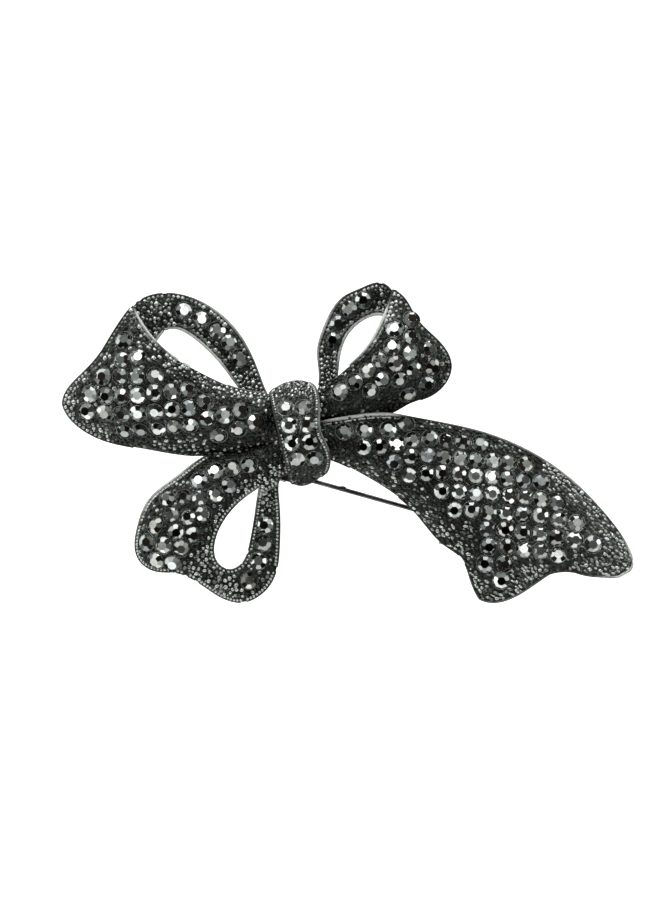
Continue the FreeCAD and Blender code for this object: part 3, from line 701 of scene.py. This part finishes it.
class Grain:
    """Beads scattered on one ribbon's decorated face, clear of stones, rims and each other."""

    def __init__(self, ribbon, seed):
        self.mesh = nodes[ribbon].data
        self.chance = np.random.default_rng(seed)
        self.rims = tree_of_points([p * MM for run in outlines[ribbon][1] for p, _face, _wall in run])
        self.front = [face for face in self.mesh.polygons if face.normal.dot(OUTWARD) > DECORATED]
        self.areas = np.array([face.area for face in self.front])
        self.cells = {}

    def cell_of(self, spot):
        """The small cell of space that a place is in."""
        return tuple(int(math.floor(x / CELL)) for x in spot)

    def take(self, spot, radius):
        """Notes that a bead stands at a place."""
        self.cells.setdefault(self.cell_of(spot), []).append((spot, radius))

    def beads(self, tries, smallest, largest):
        """Tries so many places per square millimetre; gives (place, outward, radius)."""
        wanted = int(self.areas.sum() / MM ** 2 * tries)
        chosen = self.chance.choice(len(self.front), size=wanted, p=self.areas / self.areas.sum())
        made = []
        for which, (u, v, w) in zip(chosen, self.chance.random((wanted, 3))):
            face = self.front[which]
            a, b, c = (self.mesh.vertices[i].co for i in face.vertices)
            if u + v > 1:
                u, v = 1 - u, 1 - v
            spot = a + (b - a) * u + (c - a) * v
            radius = (smallest + (largest - smallest) * w) * MM
            key = self.cell_of(spot)
            near = [bead for i in (-1, 0, 1) for j in (-1, 0, 1) for k in (-1, 0, 1)
                    for bead in self.cells.get((key[0] + i, key[1] + j, key[2] + k), ())]
            if any((other - spot).length < BEADS_APART * (radius + reach) for other, reach in near):
                continue
            if seat_tree.find(spot)[2] < STONE_EDGE + BEAD_PART * radius:
                continue
            if self.rims.find(spot)[2] < RIM_EDGE + BEAD_PART * radius:
                continue
            if not inside_outline(spot, OVER_METAL * radius):
                continue
            if metal_tree.ray_cast(spot + face.normal * LIFT, face.normal, COVERED)[0] is not None:
                continue
            self.take(spot, radius)
            made.append((spot, face.normal.copy(), radius / MM))
        return made


# how the beads are drawn out on each ribbon: degrees from level, stray from that, and the most
DRAWN_OUT = {
    "left_loop": (40, 60, 1.35), "upper_loop": (-30, 60, 1.35), "lower_loop": (60, 60, 1.3),
    "tail": (-32, 20, 2.5), "knot": (90, 14, 2.0),
}
# smallest and largest radius, in millimetres, of each ribbon's coarse beads and of all fine ones
COARSE = {
    "left_loop": (0.23, 0.37), "upper_loop": (0.22, 0.35), "lower_loop": (0.22, 0.34),
    "tail": (0.20, 0.33), "knot": (0.17, 0.25),
}
FINE = (0.11, 0.18)
# tries per square millimetre, coarse and fine, and how much blacker the fine ones are
COARSE_TRIES = 14
FINE_TRIES = 22
FINE_SHIFT = -0.15
# painted shade: beads this close to a stone's middle, down between the raised stones, are blacker than those
# in the open
STONE_SHADE_REACH = 1.9 * MM
PAINTED_SHADE_BESIDE_STONE = -0.28
IN_THE_OPEN = 0.05
# how far a bead leans, its height for its breadth, and how the tones spread between black and bright
BEAD_TILT = 0.22
BEAD_HEIGHT = (0.75, 1.1)
TONE_SPREAD = (1.3, 1.6)
grain_draw = random.Random(7)


def strewn(ribbon, beads, shape, name, shift):
    """One piece of beads, each turned, tilted and toned a little differently."""
    course, stray, long = DRAWN_OUT[ribbon]
    places = []
    tones = []
    for spot, outward, radius in beads:
        tilt = any_way(grain_draw) * BEAD_TILT
        turn = math.radians(course + grain_draw.gauss(0, stray))
        slim = grain_draw.uniform(1.0, long)
        size = (radius * slim ** 0.5, radius / slim ** 0.5, radius * grain_draw.uniform(*BEAD_HEIGHT))
        places.append(standing(spot, (outward + tilt).normalized(), turn, size))
        # painted shade beside the stones, and the painted highlight and shade patches, go into each bead's
        # tone
        stone_shade = PAINTED_SHADE_BESIDE_STONE if seat_tree.find(spot)[2] < STONE_SHADE_REACH else IN_THE_OPEN
        tones.append(tone_within(grain_draw.betavariate(*TONE_SPREAD) + stone_shade + shift + painted_light_and_shade(spot)))
    brooch_piece(copies(shape, places, name, tones), GRAIN_METAL)


# ---------------------------------------------------------------- rims along the outlines, with painted highlights
# stretches where the rim is broader and carries a painted highlight: x, z, reach in millimetres and times as
# broad
BROAD_RIM = (
    (-0.6, 10.1, 6.5, 2.3), (-21.0, 19.7, 7.0, 1.7), (33.6, -8.5, 4.0, 1.4), (-26.3, 0.2, 8.0, 1.5),
    (20.0, 4.0, 14.0, 1.3), (-2.5, 21.0, 5.5, 1.7), (-28.5, 22.0, 3.4, 1.7), (1.6, 22.0, 3.6, 1.8),
)
# the rim's radius, in millimetres, its base tone, the painted highlight added where it is broad, and its
# share of the painted highlight and shade patches
RIM_RADIUS = 0.13
RIM_TONE = 0.24
PAINTED_HIGHLIGHT_WHERE_BROAD = 0.7
PAINTED_PATCHES_ON_RIM = 0.5
# the finer second rim: its radius, how far in it runs, from what breadth of the first, and on what
SECOND_RADIUS = 0.055
SECOND_INSET = 0.52
SECOND_FROM = 1.45
TWO_RIMS = ("left_loop", "upper_loop", "tail")


def rim_breadth(point):
    """How much broader the rim is at a place."""
    return max([1.0] + [
        1.0 + (broad - 1.0) * min(1.0, 2.0 * (1.0 - math.hypot(point.x - x, point.z - z) / reach))
        for x, z, reach, broad in BROAD_RIM if math.hypot(point.x - x, point.z - z) < reach
    ])


def inward(face, wall):
    """Away from the outline, along the decorated face."""
    return -(wall - face * face.dot(wall)).normalized()


def rim_wire(ribbon, name, radius, inset=0.0, broad_only=False):
    """A rounded rim on or beside the outline of a ribbon's decorated face, with a painted highlight where it
    is broad and the painted highlight and shade patches in its tone.
    """
    nothing_selected()
    wire = outlines[ribbon][0].copy()
    wire.data = outlines[ribbon][0].data.copy()
    bpy.context.scene.collection.objects.link(wire)
    corners = [corner for run in outlines[ribbon][1] for corner in run]
    nearest = tree_of_points([point for point, _face, _wall in corners])
    open_up(wire, "VERT")
    close_up()
    for vertex in wire.data.vertices:
        _point, face, wall = corners[nearest.find(vertex.co)[1]]
        vertex.select = broad_only and rim_breadth(vertex.co) < SECOND_FROM
        if not vertex.select:
            vertex.co += inward(face, wall) * inset
    only(wire)
    bpy.ops.object.mode_set(mode="EDIT")
    bpy.ops.mesh.delete(type="VERT")
    close_up()
    bpy.ops.object.convert(target="CURVE")
    wire = bpy.context.object
    for spline in wire.data.splines:
        for point in spline.points:
            point.radius = rim_breadth(point.co)
    wire.data.bevel_depth = radius
    wire.data.bevel_resolution = 1
    wire.data.use_fill_caps = True
    bpy.ops.object.convert(target="MESH")
    wire = bpy.context.object
    bpy.ops.object.shade_smooth()
    settle(wire, name, Matrix.Scale(MM, 4))
    # tone: base, plus a painted highlight where broad, plus the painted highlight and shade patches
    toned(wire, [
        tone_within(
            RIM_TONE
            + PAINTED_HIGHLIGHT_WHERE_BROAD * (rim_breadth(v.co / MM) - 1.0)
            + PAINTED_PATCHES_ON_RIM * painted_light_and_shade(v.co)
        )
        for v in wire.data.vertices
    ])
    brooch_piece(wire, RIM_METAL)


# a bead of a row is left out under metal this near; the look starts a little above it, in millimetres
ROW_COVERED = 1.5 * MM
ROW_LIFT = 0.3


def beaded_row(ribbon, pitch, inset):
    """Places for a row of small beads beside the rim, one every pitch millimetres."""
    places = []
    for run in outlines[ribbon][1]:
        ahead = pitch / 2
        for (here, face, wall), (there, _face, _wall) in zip(run, run[1:]):
            step = (there - here).length
            while ahead <= step and step > 0:
                broad = rim_breadth(here)
                spot = here.lerp(there, ahead / step) + inward(face, wall) * inset * broad
                hidden = metal_tree.ray_cast((spot + face * ROW_LIFT) * MM, face, ROW_COVERED)[0]
                if hidden is None:
                    places.append((spot * MM, face, broad))
                ahead += pitch
            ahead -= step
    return places


# beads beside the rim, in millimetres: pitch, distance in from the rim, radius, and usual tone
BEADED = {
    "left_loop": (0.62, 0.36, 0.25, 0.45), "upper_loop": (0.60, 0.36, 0.24, 0.45),
    "lower_loop": (0.47, 0.30, 0.20, 0.85), "knot": (0.46, 0.24, 0.17, 0.75),
}
# the spread of their sizes and tones, and the most that a broad rim widens them
ROW_SIZES = (0.88, 1.08)
ROW_TONES = 0.18
ROW_BROADEST = 1.3
GRAIN_SEED = 100

for number, ribbon in enumerate(STONES_ON):
    scattered = Grain(ribbon, GRAIN_SEED + number)
    if ribbon in BEADED:
        pitch, inset, radius, tone = BEADED[ribbon]
        row = []
        tones = []
        for spot, outward, broad in beaded_row(ribbon, pitch, inset):
            scattered.take(spot, radius * MM)
            size = radius * grain_draw.uniform(*ROW_SIZES) * min(broad, ROW_BROADEST)
            row.append(standing(spot, outward, 0.0, (size, size, size)))
            # the painted highlight and shade patches go into each bead's tone
            tones.append(tone_within(tone + grain_draw.gauss(0, ROW_TONES) + painted_light_and_shade(spot)))
        brooch_piece(copies(bead_shape, row, ribbon + "_beaded_edge", tones), GRAIN_METAL)
    strewn(ribbon, scattered.beads(COARSE_TRIES, *COARSE[ribbon]), bead_shape, ribbon + "_grain", 0.0)
    strewn(ribbon, scattered.beads(FINE_TRIES, *FINE), seed_shape, ribbon + "_fine_grain", FINE_SHIFT)
    rim_wire(ribbon, ribbon + "_rim", RIM_RADIUS)
    if ribbon in TWO_RIMS:
        rim_wire(ribbon, ribbon + "_second_rim", SECOND_RADIUS, SECOND_INSET, broad_only=True)


# ---------------------------------------------------------------- the drop of solder on the stem
DROP_PLACE = (-3.2 * MM, -0.05 * MM, 1.03 * MM)
DROP_RADIUS = 0.36 * MM
DROP_STRETCH = (1.5, 0.9, 0.85)


def solder_drop():
    """A small drop left on the stem, flattened along it."""
    nothing_selected()
    bpy.ops.mesh.primitive_uv_sphere_add(segments=16, ring_count=10, radius=DROP_RADIUS, location=(0, 0, 0))
    drop = bpy.context.object
    open_up(drop)
    bpy.ops.mesh.select_all(action="SELECT")
    bpy.ops.transform.resize(value=DROP_STRETCH)
    bpy.ops.transform.translate(value=DROP_PLACE)
    close_up()
    bpy.ops.object.shade_smooth()
    settle(drop, "stem_solder_drop")
    drop.data.materials.append(PIN_STEEL)
    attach(drop, "stem")


solder_drop()

# the shapes that were copied are not part of the brooch
wires = [wire for wire, _runs in outlines.values()]
for shape in (stone_shape, wall_shape, bead_shape, seed_shape, *wires):
    bpy.data.objects.remove(shape)

# ---------------------------------------------------------------- studio
LENS = 200.0
SENSOR = 36.0
# what the frame takes in from top to bottom, in the plane of the stones, and its middle
FRAME_HEIGHT = 117.0 * MM
FRONT_PLANE = -7.5 * MM
FRAME_MIDDLE = (-4.80 * MM, 6.05 * MM)
camera_data = bpy.data.cameras.new("camera")
camera_data.lens = LENS
camera_data.sensor_width = SENSOR
camera_data.clip_start = 0.01
camera_data.clip_end = 50.0
camera = bpy.data.objects.new("camera", camera_data)
bpy.context.scene.collection.objects.link(camera)
camera.location = (FRAME_MIDDLE[0], FRONT_PLANE - FRAME_HEIGHT * LENS / SENSOR, FRAME_MIDDLE[1])
camera.rotation_euler = (math.radians(90), 0, 0)
bpy.context.scene.camera = camera

# the light and dark patches of the room that the metal mirrors
ROOM_TONES = [
    (0.36, (0.010, 0.010, 0.010)), (0.41, (0.060, 0.042, 0.030)), (0.45, (0.020, 0.022, 0.021)),
    (0.50, (0.27, 0.285, 0.27)), (0.56, (0.60, 0.63, 0.61)), (0.64, (1.7, 1.75, 1.7)),
]
LIGHTS_AIM = Vector((0.0, -0.007, 0.006))


def soft_light(name, place, size, brightness):
    """A rectangular softbox aimed at the brooch, given how bright its face looks."""
    data = bpy.data.lights.new(name, "AREA")
    data.shape = "RECTANGLE"
    data.size, data.size_y = size
    data.energy = brightness * math.pi * size[0] * size[1]
    light = bpy.data.objects.new(name, data)
    bpy.context.scene.collection.objects.link(light)
    light.location = place
    aim = LIGHTS_AIM - Vector(place)
    light.rotation_euler = aim.to_track_quat("-Z", "Y").to_euler()
    light.visible_camera = False


soft_light("key_softbox", (-0.22, -0.62, 0.46), (0.26, 0.22), 4.0)
soft_light("front_softbox", (0.13, -0.75, 0.12), (0.13, 0.10), 2.6)
soft_light("overhead_softbox", (0.10, -0.10, 0.80), (0.70, 0.50), 1.6)
soft_light("table_card", (0.0, -0.16, -0.60), (0.90, 0.50), 0.9)
soft_light("left_card", (-0.80, -0.12, 0.12), (0.35, 0.45), 1.1)
soft_light("right_card", (0.80, -0.12, 0.16), (0.25, 0.40), 1.8)
soft_light("back_softbox", (0.15, 0.65, 0.55), (0.5, 0.4), 3.4)
soft_light("back_fill", (-0.5, 0.7, -0.1), (0.5, 0.5), 1.7)

world = bpy.data.worlds.new("studio")
world.use_nodes = True
room = world.node_tree
direction = room.nodes.new("ShaderNodeTexCoord").outputs["Generated"]
cards = ramp(room, noise(room, direction, 2.3, 1.0, 0.4), ROOM_TONES)
split = room.nodes.new("ShaderNodeSeparateXYZ")
room.links.new(direction, split.inputs["Vector"])
room.links.new(cards, room.nodes["Background"].inputs["Color"])
# the room is dim straight ahead of the brooch and full from there to the sides
DIM, FULL = 0.28, 1.05
AHEAD, ASIDE = -0.96, -0.55
strength = mapped(room, split.outputs["Y"], DIM, FULL, AHEAD, ASIDE)
room.links.new(strength, room.nodes["Background"].inputs["Strength"])
bpy.context.scene.world = world

# a pale bowl with a flat floor, seen by the camera alone
BOWL_RADIUS = 2.6
BOWL_MIDDLE = (0, 0, 1.4)
FLOOR_BELOW_MIDDLE = 2.3
nothing_selected()
bpy.ops.mesh.primitive_uv_sphere_add(segments=64, ring_count=32, radius=BOWL_RADIUS, location=BOWL_MIDDLE)
bowl = bpy.context.object
for vertex in bowl.data.vertices:
    vertex.co.z = max(vertex.co.z, -FLOOR_BELOW_MIDDLE)
open_up(bowl)
bpy.ops.mesh.select_all(action="SELECT")
bpy.ops.mesh.flip_normals()
close_up()
bpy.ops.object.shade_smooth()
settle(bowl, "pale_studio_bowl")
pale = bpy.data.materials.new("pale_paper")
pale.use_nodes = True
paper = pale.node_tree.nodes["Principled BSDF"]
paper.inputs["Base Color"].default_value = (0.9, 0.9, 0.9, 1.0)
paper.inputs["Roughness"].default_value = 0.9
paper.inputs["Emission Color"].default_value = (1.0, 1.0, 1.0, 1.0)
paper.inputs["Emission Strength"].default_value = 1.0
bowl.data.materials.append(pale)
bowl.visible_glossy = False
bowl.visible_diffuse = False
bowl.visible_shadow = False
bowl.visible_transmission = False

bpy.context.scene.view_settings.view_transform = "Standard"
bpy.context.scene.view_settings.look = "None"
